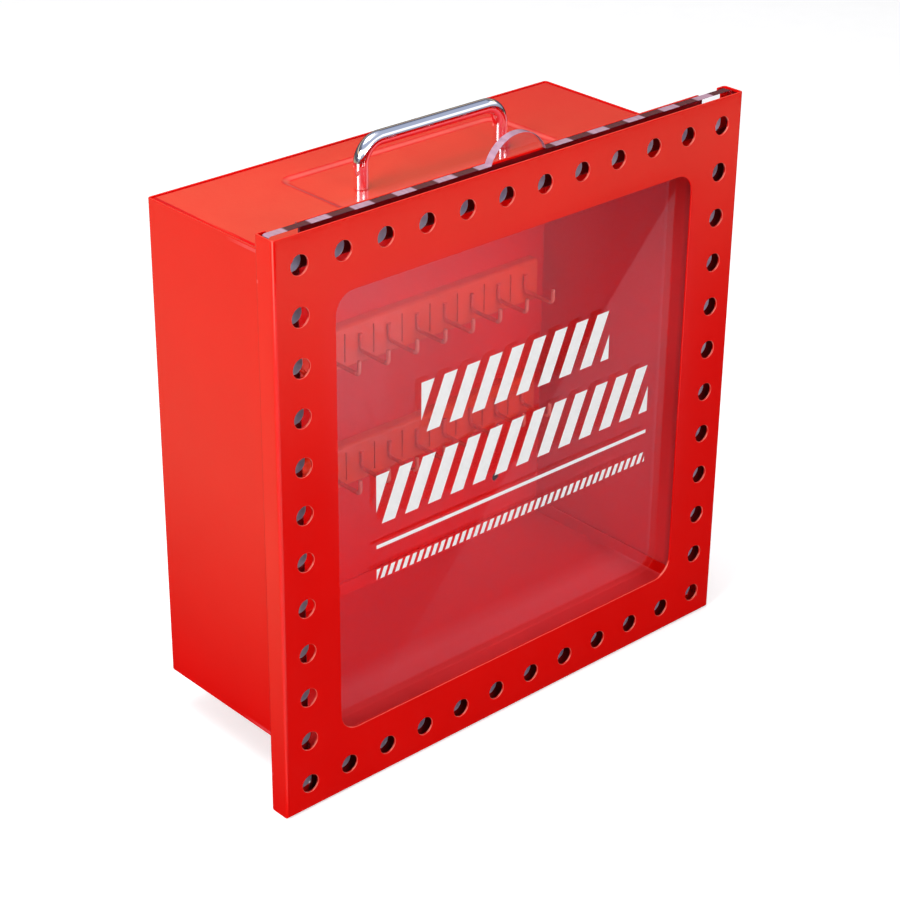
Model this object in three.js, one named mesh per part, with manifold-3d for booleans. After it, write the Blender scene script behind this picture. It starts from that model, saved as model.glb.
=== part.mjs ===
// Group lockout box: a sheet steel cabinet with a row of padlock holes round its front frame and a
// clear panel that lifts out of the frame's channel. Millimetres, +Z up, the front faces -Y.
// The origin is the middle of the back wall's outer face, which lies on the wall at Y = 0.
import * as THREE from "three";
import { mergeVertices } from "three/addons/utils/BufferGeometryUtils.js";
import Module from "manifold-3d";

// Sheet steel
const SHEET = 1.5;
const BEND_RADIUS = 1; // inside radius of every bend
const HAIRLINE = 0.1; // between faces that are welded, screwed or pressed together
const HEM = 12; // turned-in edges by which the top and bottom are welded into the wrap

// Front frame, a tray that is open at the top
const FRAME_WIDTH = 400;
const FRAME_HEIGHT = 400;
const FRAME_DEPTH = 17; // over the returned edges, front face to the back of the lips
const LIP_WIDTH = 8;
const WINDOW_BORDER = 46;
const WINDOW_RADIUS = 14;

// Padlock holes, in a square ring round the window
const HOLE_DIAMETER = 13;
const HOLE_EDGE = 19.5; // centre of the outer holes to the edge of the frame
const HOLES_PER_SIDE = 12;

// Cabinet behind the frame
const OVERALL_DEPTH = 160;
const SHACKLE_GAP = 1; // padlock holes to the wall of the cabinet that stands behind them
const FLANGE_CLEARANCE = 0.5; // edge of a flange to the bend beside it
const WALL_HOLE_DIAMETER = 7;
const WALL_HOLE_EDGE = 45; // fixing holes in the back, in from the cabinet's walls

// Clear panel
const PANEL_THICKNESS = 6;
const PANEL_CLEARANCE = 1; // each side, to the bends of the frame
const PANEL_RUNNING_GAP = 0.5; // to the flanges behind it
const PANEL_REST_GAP = 0.3; // under its lower edge
const PANEL_CORNER_RADIUS = 3;
const TAB_WIDTH = 47;
const TAB_HEIGHT = 16;

// Carrying handle and the pressed seat round it
const BAR_DIAMETER = 10;
const HANDLE_CENTRES = 120;
const HANDLE_HEIGHT = 35; // over the bar, above the pressed seat
const HANDLE_BEND_RADIUS = 15; // at the middle of the bar
const SEAT_MARGIN = 35; // beyond the middle of the handle's legs
const SEAT_LENGTH = 88;
const SEAT_DEPTH = 1.5;
const SEAT_BEVEL = 6;

// Handle screws, put in from inside the cabinet
const SCREW_DIAMETER = 5;
const SCREW_LENGTH = 14;
const SCREW_CLEARANCE = 0.25; // all round the thread
const SCREW_HEAD_DIAMETER = 9.5;
const SCREW_HEAD_HEIGHT = 3.2;
const SCREW_DOME_RADIUS = 1.2;
const SCREW_RECESS_WIDTH = 1.2;
const SCREW_RECESS_LENGTH = 5.5;
const SCREW_RECESS_DEPTH = 1.6;
const SCREW_END_GAP = 2; // tip of the screw to the bottom of its bore
const WASHER_DIAMETER = 15;
const WASHER_THICKNESS = 1.2;

// Key hooks on their rails
const HOOKS_PER_RAIL = 12;
const WIRE_DIAMETER = 3;
const WIRE_BEND_RADIUS = 3.5; // at the middle of the wire
const HOOK_STEM = 13;
const HOOK_REACH = 29; // middle of the stem to the middle of the tip
const HOOK_TIP = 11;
const HOOK_DROP = 21; // top of the rail to the middle of the hook's arm
const RAIL_HEIGHT = 32;
const RAIL_DEPTH = 9;
const RAIL_END = 14; // beyond the middle of the last hook
const RAIL_GAP = 14.5; // to the side walls
const RAIL_DROP = 128; // top of the cabinet to the top of the upper rail
const RAIL_SPACING = 91; // top of the upper rail to the top of the lower one
const SLIT_WIDTH = 1;
const SLIT_MARGIN = 5; // from a rail's upper and lower edges

const CUT_OVERRUN = 2; // past the faces that a cutter goes through

// Fineness of the curves
const BEND_STEPS = 3;
const HOLE_SIDES = 12;
const CORNER_STEPS = 4;
const TAB_STEPS = 16;
const BAR_SIDES = 16;
const WIRE_SIDES = 6;
const WIRE_BEND_STEPS = 3;
const HANDLE_BEND_STEPS = 6;
const TURNED_SIDES = 16;

// Planes that the pieces share
const BOX_INSET = HOLE_EDGE + HOLE_DIAMETER / 2 + SHACKLE_GAP; // in from the edges of the frame
const BOX_WIDTH = FRAME_WIDTH - 2 * BOX_INSET;
const BOX_HEIGHT = FRAME_HEIGHT - 2 * BOX_INSET;
const BOX_TOP = BOX_HEIGHT / 2;
const FRONT_Y = -OVERALL_DEPTH;
const LIP_FRONT_Y = FRONT_Y + FRAME_DEPTH - SHEET;
const FLANGE_BACK_Y = LIP_FRONT_Y - HAIRLINE;
const FLANGE_MIDDLE_Y = FLANGE_BACK_Y - SHEET / 2;
const FLANGE_EDGE = SHEET + BEND_RADIUS + FLANGE_CLEARANCE; // in from the outside of the frame
const PANEL_BACK_Y = FLANGE_BACK_Y - SHEET - PANEL_RUNNING_GAP;
const PANEL_BOTTOM = -FRAME_HEIGHT / 2 + SHEET + PANEL_REST_GAP;
const BEND_OUTSIDE = SHEET + BEND_RADIUS;
const CORNER_FIT = BEND_RADIUS * (1 - Math.SQRT1_2) + HAIRLINE; // lets a square corner into a bend
const HANDLE_Y = FLANGE_BACK_Y / 2; // half way along the top
const SEAT_TOP = BOX_TOP - SEAT_DEPTH;

const paint = new THREE.MeshStandardMaterial({ color: 0xe2231a, roughness: 0.35, metalness: 0 });
const hookPaint = new THREE.MeshStandardMaterial({ color: 0xc8281f, roughness: 0.4, metalness: 0 });
const chrome = new THREE.MeshStandardMaterial({ color: 0xd8dce2, roughness: 0.08, metalness: 1 });
const zinc = new THREE.MeshStandardMaterial({ color: 0xb4b8bc, roughness: 0.35, metalness: 1 });
const acrylic = new THREE.MeshStandardMaterial({
  color: 0xeef0f8,
  roughness: 0.05,
  metalness: 0,
  transparent: true,
  opacity: 0.3,
});

const wasm = await Module();
wasm.setup();

// A closed geometry as a solid that can be cut and joined.
function solidOf(geometry) {
  const bare = geometry.clone();
  bare.deleteAttribute("normal");
  bare.deleteAttribute("uv");
  const merged = mergeVertices(bare);
  return new wasm.Manifold(
    new wasm.Mesh({
      numProp: 3,
      vertProperties: merged.getAttribute("position").array,
      triVerts: Uint32Array.from(merged.index.array),
    }),
  );
}

function geometryOf(solid) {
  const mesh = solid.getMesh();
  const geometry = new THREE.BufferGeometry()
    .setAttribute("position", new THREE.BufferAttribute(mesh.vertProperties, mesh.numProp))
    .setIndex(new THREE.BufferAttribute(mesh.triVerts, 1));
  const faceted = geometry.toNonIndexed();
  faceted.computeVertexNormals();
  return faceted;
}

const join = (...solids) => solids.reduce((whole, next) => whole.add(next));

const point = (x, y) => new THREE.Vector2(x, y);

// Outline of a strip of sheet that follows a line of straight runs, with a round bend at each corner.
function stripOutline(line, thickness = SHEET, insideRadius = BEND_RADIUS) {
  const half = thickness / 2;
  const left = [];
  const right = [];
  const place = (middle, outward, inner, outer) => {
    left.push(middle.clone().addScaledVector(outward, inner));
    right.push(middle.clone().addScaledVector(outward, outer));
  };
  line.forEach((here, i) => {
    const before = line[i - 1];
    const after = line[i + 1];
    if (!before || !after) {
      const along = before ? here.clone().sub(before) : after.clone().sub(here);
      const normal = point(-along.y, along.x).normalize();
      place(here, normal, half, -half);
      return;
    }
    const arriving = here.clone().sub(before).normalize();
    const leaving = after.clone().sub(here).normalize();
    const angle = Math.acos(arriving.dot(leaving));
    const side = Math.sign(arriving.cross(leaving));
    const radius = insideRadius + half;
    const start = here.clone().addScaledVector(arriving, -radius * Math.tan(angle / 2));
    const towardCentre = point(-arriving.y, arriving.x).multiplyScalar(side);
    const centre = start.addScaledVector(towardCentre, radius);
    for (let step = 0; step <= BEND_STEPS; step++) {
      const outward = towardCentre.clone().negate();
      outward.rotateAround(point(0, 0), (side * angle * step) / BEND_STEPS);
      place(centre, outward, radius - side * half, radius + side * half);
    }
  });
  return [...left, ...right.reverse()];
}

const axisVector = {
  x: new THREE.Vector3(1, 0, 0),
  y: new THREE.Vector3(0, 1, 0),
  z: new THREE.Vector3(0, 0, 1),
};

// Matrices that lay an outline, drawn in XY and extruded along Z, across another axis.
const laidAcross = {
  x: new THREE.Matrix4().makeBasis(axisVector.y, axisVector.z, axisVector.x),
  y: new THREE.Matrix4().makeBasis(axisVector.x, axisVector.z, axisVector.y.clone().negate()),
  z: new THREE.Matrix4(),
};

// Extrudes an outline of points along an axis, from one place on it to another. The outline is drawn
// in Y and Z for the X axis, in X and Z for the Y axis and in X and Y for the Z axis.
function extrudeAlong(axis, outline, from, to) {
  const start = axis === "y" ? -to : from;
  return new THREE.ExtrudeGeometry(new THREE.Shape(outline), { depth: to - from, bevelEnabled: false })
    .translate(0, 0, start)
    .applyMatrix4(laidAcross[axis]);
}

// Points of an arc, both ends included.
function arc(x, y, radius, from, to, steps) {
  return Array.from({ length: steps + 1 }, (unused, i) => {
    const angle = from + ((to - from) * i) / steps;
    return point(x + radius * Math.cos(angle), y + radius * Math.sin(angle));
  });
}

// Round corner of an outline that runs anticlockwise; the corners are counted from the lower left.
function roundCorner(x, y, radius, number) {
  const inward = number % 3 === 0 ? 1 : -1;
  const upward = number < 2 ? 1 : -1;
  const from = Math.PI + (number * Math.PI) / 2;
  return arc(x + inward * radius, y + upward * radius, radius, from, from + Math.PI / 2, CORNER_STEPS);
}

// A box between two corners.
function block(low, high) {
  const size = high.clone().sub(low);
  return new THREE.BoxGeometry(size.x, size.y, size.z).translate(
    ...low.clone().add(high).multiplyScalar(0.5).toArray(),
  );
}

const corner = (x, y, z) => new THREE.Vector3(x, y, z);

// Sweeps an outline round three sides of a rectangle with mitred corners. The outline's x runs inward
// from the edge of the rectangle and its y along the depth axis; the fourth side, at the end of the
// length axis, stays open.
function mitredReturn(strip, halfWidth, length, origin, lengthAxis, depthAxis) {
  const outline = THREE.ShapeUtils.isClockWise(strip) ? strip.toReversed() : strip;
  const sideways = axisVector.x;
  const stations = [
    (inward) => [-halfWidth + inward, length],
    (inward) => [-halfWidth + inward, inward],
    (inward) => [halfWidth - inward, inward],
    (inward) => [halfWidth - inward, length],
  ];
  const positions = [];
  for (const station of stations)
    for (const { x: inward, y: depth } of outline) {
      const [side, along] = station(inward);
      const place = origin.clone().addScaledVector(sideways, side);
      place.addScaledVector(lengthAxis, along).addScaledVector(depthAxis, depth);
      positions.push(...place.toArray());
    }
  const count = outline.length;
  const faces = [];
  for (let ring = 0; ring < stations.length - 1; ring++)
    for (let i = 0; i < count; i++) {
      const a = ring * count + i;
      const b = ring * count + ((i + 1) % count);
      faces.push([a, b, b + count], [a, b + count, a + count]);
    }
  const last = (stations.length - 1) * count;
  for (const [a, b, c] of THREE.ShapeUtils.triangulateShape(outline, []))
    faces.push([a, c, b], [last + a, last + b, last + c]);
  const handed = sideways.clone().cross(lengthAxis).dot(depthAxis);
  const order = handed > 0 ? (face) => face : ([a, b, c]) => [a, c, b];
  return new THREE.BufferGeometry()
    .setAttribute("position", new THREE.Float32BufferAttribute(positions, 3))
    .setIndex(faces.flatMap(order));
}

// Places of the padlock holes, once round the frame.
function padlockHolePlaces() {
  const x = FRAME_WIDTH / 2 - HOLE_EDGE;
  const z = FRAME_HEIGHT / 2 - HOLE_EDGE;
  const places = [];
  for (let i = 0; i < HOLES_PER_SIDE - 1; i++) {
    const turn = (2 * i) / (HOLES_PER_SIDE - 1) - 1;
    places.push([x * turn, z], [x, -z * turn], [-x * turn, -z], [-x, z * turn]);
  }
  return places;
}

// One long cutter for each padlock hole, through the frame, the clear panel and the flanges.
function padlockHoleCutters() {
  const front = FRONT_Y - CUT_OVERRUN;
  const back = LIP_FRONT_Y + SHEET + CUT_OVERRUN;
  const pin = new THREE.CylinderGeometry(1, 1, 1, HOLE_SIDES)
    .scale(HOLE_DIAMETER / 2, back - front, HOLE_DIAMETER / 2)
    .translate(0, (front + back) / 2, 0);
  return join(...padlockHolePlaces().map(([x, z]) => solidOf(pin.clone().translate(x, 0, z))));
}

const padlockHoles = padlockHoleCutters();

// Front frame: a face with the window, and a returned edge with a lip down both sides and along the
// bottom. The clear panel drops into the channel through the open top.
function frontFrame() {
  const returnOutline = stripOutline([
    point(2 * BEND_OUTSIDE, SHEET / 2),
    point(SHEET / 2, SHEET / 2),
    point(SHEET / 2, FRAME_DEPTH - SHEET / 2),
    point(LIP_WIDTH, FRAME_DEPTH - SHEET / 2),
  ]);
  const bottom = corner(0, FRONT_Y, -FRAME_HEIGHT / 2);
  const edges = mitredReturn(
    returnOutline,
    FRAME_WIDTH / 2,
    FRAME_HEIGHT,
    bottom,
    axisVector.z,
    axisVector.y,
  );
  const side = FRAME_WIDTH / 2 - BEND_OUTSIDE;
  const foot = -FRAME_HEIGHT / 2 + BEND_OUTSIDE;
  const faceSheet = block(
    corner(-side, FRONT_Y, foot),
    corner(side, FRONT_Y + SHEET, FRAME_HEIGHT / 2),
  );
  const x = FRAME_WIDTH / 2 - WINDOW_BORDER;
  const z = FRAME_HEIGHT / 2 - WINDOW_BORDER;
  const opening = [
    [-x, -z],
    [x, -z],
    [x, z],
    [-x, z],
  ].flatMap(([across, up], i) => roundCorner(across, up, WINDOW_RADIUS, i));
  const window = extrudeAlong("y", opening, FRONT_Y - CUT_OVERRUN, FRONT_Y + SHEET + CUT_OVERRUN);
  return join(solidOf(edges), solidOf(faceSheet)).subtract(solidOf(window)).subtract(padlockHoles);
}

// Clear panel with its half-round tab, by which it is lifted out. The padlocks' shackles go through it.
function clearPanel() {
  const x = FRAME_WIDTH / 2 - SHEET - PANEL_CLEARANCE;
  const top = FRAME_HEIGHT / 2;
  const radius = PANEL_CORNER_RADIUS;
  const tabRadius = (TAB_HEIGHT ** 2 + (TAB_WIDTH / 2) ** 2) / (2 * TAB_HEIGHT);
  const tabMiddle = top + TAB_HEIGHT - tabRadius;
  const foot = Math.asin((top - tabMiddle) / tabRadius);
  const outline = [
    ...roundCorner(-x, PANEL_BOTTOM, radius, 0),
    ...roundCorner(x, PANEL_BOTTOM, radius, 1),
    ...roundCorner(x, top, radius, 2),
    ...arc(0, tabMiddle, tabRadius, foot, Math.PI - foot, TAB_STEPS),
    ...roundCorner(-x, top, radius, 3),
  ];
  const sheet = extrudeAlong("y", outline, PANEL_BACK_Y - PANEL_THICKNESS, PANEL_BACK_Y);
  return solidOf(sheet).subtract(padlockHoles);
}

// Side walls, back and side flanges, bent from one sheet and open at the top and bottom.
function wrap() {
  const wall = BOX_WIDTH / 2 - SHEET / 2;
  const flange = FRAME_WIDTH / 2 - FLANGE_EDGE;
  const plan = stripOutline([
    point(-flange, FLANGE_MIDDLE_Y),
    point(-wall, FLANGE_MIDDLE_Y),
    point(-wall, -SHEET / 2),
    point(wall, -SHEET / 2),
    point(wall, FLANGE_MIDDLE_Y),
    point(flange, FLANGE_MIDDLE_Y),
  ]);
  const fixing = new THREE.CylinderGeometry(1, 1, 1, HOLE_SIDES)
    .scale(WALL_HOLE_DIAMETER / 2, SHEET + 2 * CUT_OVERRUN, WALL_HOLE_DIAMETER / 2)
    .translate(0, -SHEET / 2, 0);
  const x = BOX_WIDTH / 2 - WALL_HOLE_EDGE;
  const z = BOX_HEIGHT / 2 - WALL_HOLE_EDGE;
  const fixings = [
    [-x, z],
    [x, z],
    [-x, -z],
    [x, -z],
  ].map(([across, up]) => solidOf(fixing.clone().translate(across, 0, up)));
  return solidOf(extrudeAlong("z", plan, -BOX_HEIGHT / 2, BOX_HEIGHT / 2))
    .subtract(padlockHoles)
    .subtract(join(...fixings));
}

// Top or bottom of the cabinet: a plate between the side walls, with a flange bent outward in front and
// a hem turned into the cabinet on the other three sides. It is drawn for the top, and side = -1 turns it
// upside down for the bottom.
function endPlate(side, flangeEnd) {
  const half = BOX_WIDTH / 2 - SHEET - CORNER_FIT;
  const rear = -SHEET - CORNER_FIT;
  const middle = BOX_TOP - SHEET / 2;
  const bendBack = FLANGE_BACK_Y + BEND_RADIUS;
  const flange = stripOutline([
    point(FLANGE_MIDDLE_Y, flangeEnd),
    point(FLANGE_MIDDLE_Y, middle),
    point(bendBack + SHEET, middle),
  ]);
  const level = side > 0 ? (p) => p : (p) => point(p.x, -p.y);
  const front = extrudeAlong("x", flange.map(level), -half, half);
  const insidePlate = half - BEND_OUTSIDE;
  const heights = [BOX_TOP - SHEET, BOX_TOP].map((z) => side * z).sort((a, b) => a - b);
  const plate = block(
    corner(-insidePlate, bendBack, heights[0]),
    corner(insidePlate, rear - BEND_OUTSIDE, heights[1]),
  );
  const hemOutline = stripOutline([
    point(2 * BEND_OUTSIDE, SHEET / 2),
    point(SHEET / 2, SHEET / 2),
    point(SHEET / 2, HEM),
  ]);
  const hems = mitredReturn(
    hemOutline,
    half,
    rear - bendBack,
    corner(0, rear, side * BOX_TOP),
    axisVector.y.clone().negate(),
    axisVector.z.clone().multiplyScalar(-side),
  );
  return join(solidOf(front), solidOf(plate), solidOf(hems)).subtract(padlockHoles);
}

// A slab between two rectangles of different size, both centred on the same place.
function taperedSlab(lowSize, highSize, lowZ, highZ, middleY) {
  const positions = [];
  for (const [size, z] of [
    [lowSize, lowZ],
    [highSize, highZ],
  ])
    for (const [across, along] of [
      [-1, -1],
      [1, -1],
      [1, 1],
      [-1, 1],
    ])
      positions.push((size.x / 2) * across, middleY + (size.y / 2) * along, z);
  const faces = [0, 2, 1, 0, 3, 2, 4, 5, 6, 4, 6, 7];
  for (let i = 0; i < 4; i++) {
    const next = (i + 1) % 4;
    faces.push(i, next, next + 4, i, next + 4, i + 4);
  }
  return new THREE.BufferGeometry()
    .setAttribute("position", new THREE.Float32BufferAttribute(positions, 3))
    .setIndex(faces);
}

// Top plate with the shallow pressed seat for the handle and the two screw holes in it.
function topPanel() {
  const rim = point(HANDLE_CENTRES + 2 * SEAT_MARGIN, SEAT_LENGTH);
  const floor = point(rim.x - 2 * SEAT_BEVEL, rim.y - 2 * SEAT_BEVEL);
  const pressed = (top) => solidOf(taperedSlab(floor, rim, top - SEAT_DEPTH, top, HANDLE_Y));
  const screwHole = new THREE.CylinderGeometry(1, 1, 1, HOLE_SIDES)
    .rotateX(Math.PI / 2)
    .scale(
      SCREW_DIAMETER / 2 + SCREW_CLEARANCE,
      SCREW_DIAMETER / 2 + SCREW_CLEARANCE,
      SHEET + 2 * CUT_OVERRUN,
    );
  const screwHoles = [-1, 1].map((side) =>
    solidOf(
      screwHole.clone().translate((side * HANDLE_CENTRES) / 2, HANDLE_Y, SEAT_TOP - SHEET / 2),
    ),
  );
  return endPlate(1, FRAME_HEIGHT / 2)
    .add(pressed(BOX_TOP - SHEET))
    .subtract(pressed(BOX_TOP))
    .subtract(join(...screwHoles));
}

const bottomPanel = () => endPlate(-1, FRAME_HEIGHT / 2 - FLANGE_EDGE);

// A round bar along a path of straight runs with round bends between them.
function bentBar(corners, diameter, bendRadius, sides, bendSteps) {
  const path = new THREE.CurvePath();
  let start = corners[0];
  for (let i = 1; i < corners.length; i++) {
    const here = corners[i];
    const next = corners[i + 1];
    const arriving = here.clone().sub(corners[i - 1]).normalize();
    const end = next ? here.clone().addScaledVector(arriving, -bendRadius) : here;
    path.add(new THREE.LineCurve3(start, end));
    if (!next) break;
    const leaving = next.clone().sub(here).normalize();
    const centre = end.clone().addScaledVector(leaving, bendRadius);
    let last = end;
    for (let step = 1; step <= bendSteps; step++) {
      const angle = ((Math.PI / 2) * step) / bendSteps;
      const onBend = centre
        .clone()
        .addScaledVector(leaving, -bendRadius * Math.cos(angle))
        .addScaledVector(arriving, bendRadius * Math.sin(angle));
      path.add(new THREE.LineCurve3(last, onBend));
      last = onBend;
    }
    start = last;
  }
  return sweptPolygon(path, diameter / 2, sides);
}

// Skin of a regular polygon carried along a flat chain of straight runs, mitred at their joints.
function sweptPolygon(path, radius, sides) {
  const joints = [path.curves[0].v1, ...path.curves.map((run) => run.v2)];
  const runs = path.curves.map((run) => run.v2.clone().sub(run.v1).normalize());
  const binormal = runs[0].clone().cross(runs[1]).normalize();
  const positions = [];
  joints.forEach((joint, i) => {
    const before = runs[Math.max(i - 1, 0)];
    const after = runs[Math.min(i, runs.length - 1)];
    const along = before.clone().add(after).normalize();
    const normal = binormal.clone().cross(along);
    const stretch = 1 / along.dot(after);
    for (let side = 0; side < sides; side++) {
      const angle = (2 * Math.PI * (side + 1 / 2)) / sides;
      positions.push(
        ...joint
          .clone()
          .addScaledVector(normal, radius * stretch * Math.cos(angle))
          .addScaledVector(binormal, radius * Math.sin(angle))
          .toArray(),
      );
    }
  });
  const faces = [];
  for (let ring = 0; ring < joints.length - 1; ring++)
    for (let side = 0; side < sides; side++) {
      const a = ring * sides + side;
      const b = ring * sides + ((side + 1) % sides);
      faces.push(a, b, b + sides, a, b + sides, a + sides);
    }
  const last = (joints.length - 1) * sides;
  for (let side = 1; side < sides - 1; side++) {
    faces.push(0, side + 1, side, last, last + side, last + side + 1);
  }
  return new THREE.BufferGeometry()
    .setAttribute("position", new THREE.Float32BufferAttribute(positions, 3))
    .setIndex(faces);
}

const SEAT_Z = SEAT_TOP + HAIRLINE; // feet of the handle
const WASHER_TOP = SEAT_TOP - SHEET - HAIRLINE;
const SCREW_SEAT_Z = WASHER_TOP - WASHER_THICKNESS - HAIRLINE; // underside of the washers

// Carrying handle: a plated bar whose ends are tapped for the screws.
function handle() {
  const x = HANDLE_CENTRES / 2;
  const top = SEAT_Z + HANDLE_HEIGHT - BAR_DIAMETER / 2;
  const bar = bentBar(
    [
      corner(-x, HANDLE_Y, SEAT_Z),
      corner(-x, HANDLE_Y, top),
      corner(x, HANDLE_Y, top),
      corner(x, HANDLE_Y, SEAT_Z),
    ],
    BAR_DIAMETER,
    HANDLE_BEND_RADIUS,
    BAR_SIDES,
    HANDLE_BEND_STEPS,
  );
  const radius = SCREW_DIAMETER / 2 + HAIRLINE;
  const low = SEAT_Z - CUT_OVERRUN;
  const high = SCREW_SEAT_Z + SCREW_LENGTH + SCREW_END_GAP;
  const bore = new THREE.CylinderGeometry(1, 1, 1, HOLE_SIDES)
    .rotateX(Math.PI / 2)
    .scale(radius, radius, high - low)
    .translate(0, HANDLE_Y, (low + high) / 2);
  const bores = [-1, 1].map((side) => solidOf(bore.clone().translate(side * x, 0, 0)));
  return solidOf(bar).subtract(join(...bores));
}

// Plain washer under a screw head, against the inside of the pressed seat.
function washer() {
  const inner = SCREW_DIAMETER / 2 + SCREW_CLEARANCE;
  const bottom = WASHER_TOP - WASHER_THICKNESS;
  const profile = [
    point(inner, bottom),
    point(WASHER_DIAMETER / 2, bottom),
    point(WASHER_DIAMETER / 2, WASHER_TOP),
    point(inner, WASHER_TOP),
    point(inner, bottom),
  ];
  return new THREE.LatheGeometry(profile, TURNED_SIDES).rotateX(Math.PI / 2);
}

// Pan head screw, drawn upright with the driver's cross in the underside of its head.
function handleScrew() {
  const seat = SCREW_SEAT_Z;
  const head = SCREW_HEAD_DIAMETER / 2;
  const dome = SCREW_DOME_RADIUS;
  const profile = [point(0, seat - SCREW_HEAD_HEIGHT)];
  for (let step = 0; step <= CORNER_STEPS; step++) {
    const angle = ((Math.PI / 2) * step) / CORNER_STEPS;
    profile.push(
      point(
        head - dome + dome * Math.sin(angle),
        seat - SCREW_HEAD_HEIGHT + dome - dome * Math.cos(angle),
      ),
    );
  }
  profile.push(point(head, seat));
  profile.push(point(SCREW_DIAMETER / 2, seat));
  profile.push(point(SCREW_DIAMETER / 2, seat + SCREW_LENGTH));
  profile.push(point(0, seat + SCREW_LENGTH));
  const turned = new THREE.LatheGeometry(profile, TURNED_SIDES).rotateX(Math.PI / 2);
  const low = seat - SCREW_HEAD_HEIGHT - CUT_OVERRUN;
  const high = seat - SCREW_HEAD_HEIGHT + SCREW_RECESS_DEPTH;
  const long = SCREW_RECESS_LENGTH / 2;
  const thin = SCREW_RECESS_WIDTH / 2;
  const cross = join(
    solidOf(block(corner(-long, -thin, low), corner(long, thin, high))),
    solidOf(block(corner(-thin, -long, low), corner(thin, long, high))),
  );
  return solidOf(turned).subtract(cross);
}

const RAIL_BACK_Y = -SHEET - HAIRLINE;
const RAIL_FRONT_Y = RAIL_BACK_Y - RAIL_DEPTH;
const RAIL_LENGTH = BOX_WIDTH - 2 * SHEET - 2 * RAIL_GAP;
const HOOK_PITCH = (RAIL_LENGTH - 2 * RAIL_END) / (HOOKS_PER_RAIL - 1);

// Hook rail: a shallow channel welded to the back wall, with a slit between each two hooks.
function hookRail() {
  const front = RAIL_FRONT_Y + SHEET / 2;
  const profile = stripOutline([
    point(RAIL_BACK_Y, -SHEET / 2),
    point(front, -SHEET / 2),
    point(front, -RAIL_HEIGHT + SHEET / 2),
    point(RAIL_BACK_Y, -RAIL_HEIGHT + SHEET / 2),
  ]);
  const slits = hookPlaces()
    .slice(1)
    .map((x) => x - HOOK_PITCH / 2)
    .map((x) =>
      solidOf(
        block(
          corner(x - SLIT_WIDTH / 2, RAIL_FRONT_Y - CUT_OVERRUN, -RAIL_HEIGHT + SLIT_MARGIN),
          corner(x + SLIT_WIDTH / 2, RAIL_FRONT_Y + SHEET + CUT_OVERRUN, -SLIT_MARGIN),
        ),
      ),
    );
  const channel = extrudeAlong("x", profile, -RAIL_LENGTH / 2, RAIL_LENGTH / 2);
  return solidOf(channel).subtract(join(...slits));
}

// Places of the hooks along a rail.
function hookPlaces() {
  const first = RAIL_END - RAIL_LENGTH / 2;
  return Array.from({ length: HOOKS_PER_RAIL }, (unused, i) => first + i * HOOK_PITCH);
}

// Key hook: wire with its stem welded to the rail, an arm forward and an upturned tip.
function keyHook() {
  const y = RAIL_FRONT_Y - HAIRLINE - WIRE_DIAMETER / 2;
  return bentBar(
    [
      corner(0, y, -HOOK_DROP + HOOK_STEM),
      corner(0, y, -HOOK_DROP),
      corner(0, y - HOOK_REACH, -HOOK_DROP),
      corner(0, y - HOOK_REACH, -HOOK_DROP + HOOK_TIP),
    ],
    WIRE_DIAMETER,
    WIRE_BEND_RADIUS,
    WIRE_SIDES,
    WIRE_BEND_STEPS,
  );
}

const group = new THREE.Group();

function addPiece(name, shape, material, place = corner(0, 0, 0), parent = group) {
  const geometry = shape.isBufferGeometry ? shape : geometryOf(shape);
  const mesh = new THREE.Mesh(geometry, material);
  mesh.name = name;
  mesh.position.copy(place);
  parent.add(mesh);
}

addPiece("front_frame", frontFrame(), paint);
addPiece("cabinet_wrap", wrap(), paint);
addPiece("top_panel", topPanel(), paint);
addPiece("bottom_panel", bottomPanel(), paint);
addPiece("clear_panel", clearPanel(), acrylic);

addPiece("carry_handle", handle(), chrome);
const screw = geometryOf(handleScrew());
const ring = washer();
for (const [side, x] of [
  ["left", -HANDLE_CENTRES / 2],
  ["right", HANDLE_CENTRES / 2],
]) {
  addPiece(`handle_screw_${side}`, screw, zinc, corner(x, HANDLE_Y, 0));
  addPiece(`handle_washer_${side}`, ring, zinc, corner(x, HANDLE_Y, 0));
}

const rail = geometryOf(hookRail());
const hook = keyHook();
for (const [row, level] of [
  ["upper", BOX_TOP - RAIL_DROP],
  ["lower", BOX_TOP - RAIL_DROP - RAIL_SPACING],
]) {
  const rack = new THREE.Group();
  rack.position.z = level;
  group.add(rack);
  addPiece(`hook_rail_${row}`, rail, paint, corner(0, 0, 0), rack);
  hookPlaces().forEach((x, i) => {
    const number = String(i + 1).padStart(2, "0");
    addPiece(`key_hook_${row}_${number}`, hook, hookPaint, corner(x, 0, 0), rack);
  });
}

export default group;
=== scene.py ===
import math

import bmesh
import bpy
from mathutils import Matrix, Vector


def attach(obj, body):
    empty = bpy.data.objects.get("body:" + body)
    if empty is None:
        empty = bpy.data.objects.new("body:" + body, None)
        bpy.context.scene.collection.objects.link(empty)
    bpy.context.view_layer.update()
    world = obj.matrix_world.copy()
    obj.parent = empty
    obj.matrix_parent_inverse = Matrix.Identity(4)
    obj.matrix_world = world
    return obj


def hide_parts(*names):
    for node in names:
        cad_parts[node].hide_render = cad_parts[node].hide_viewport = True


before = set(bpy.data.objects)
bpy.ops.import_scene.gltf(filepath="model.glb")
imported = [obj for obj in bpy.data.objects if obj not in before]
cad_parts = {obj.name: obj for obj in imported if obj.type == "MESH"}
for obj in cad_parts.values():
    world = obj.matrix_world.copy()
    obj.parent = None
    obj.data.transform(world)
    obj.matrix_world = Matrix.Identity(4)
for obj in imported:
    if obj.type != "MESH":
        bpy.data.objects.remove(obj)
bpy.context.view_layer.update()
scene = bpy.context.scene

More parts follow.
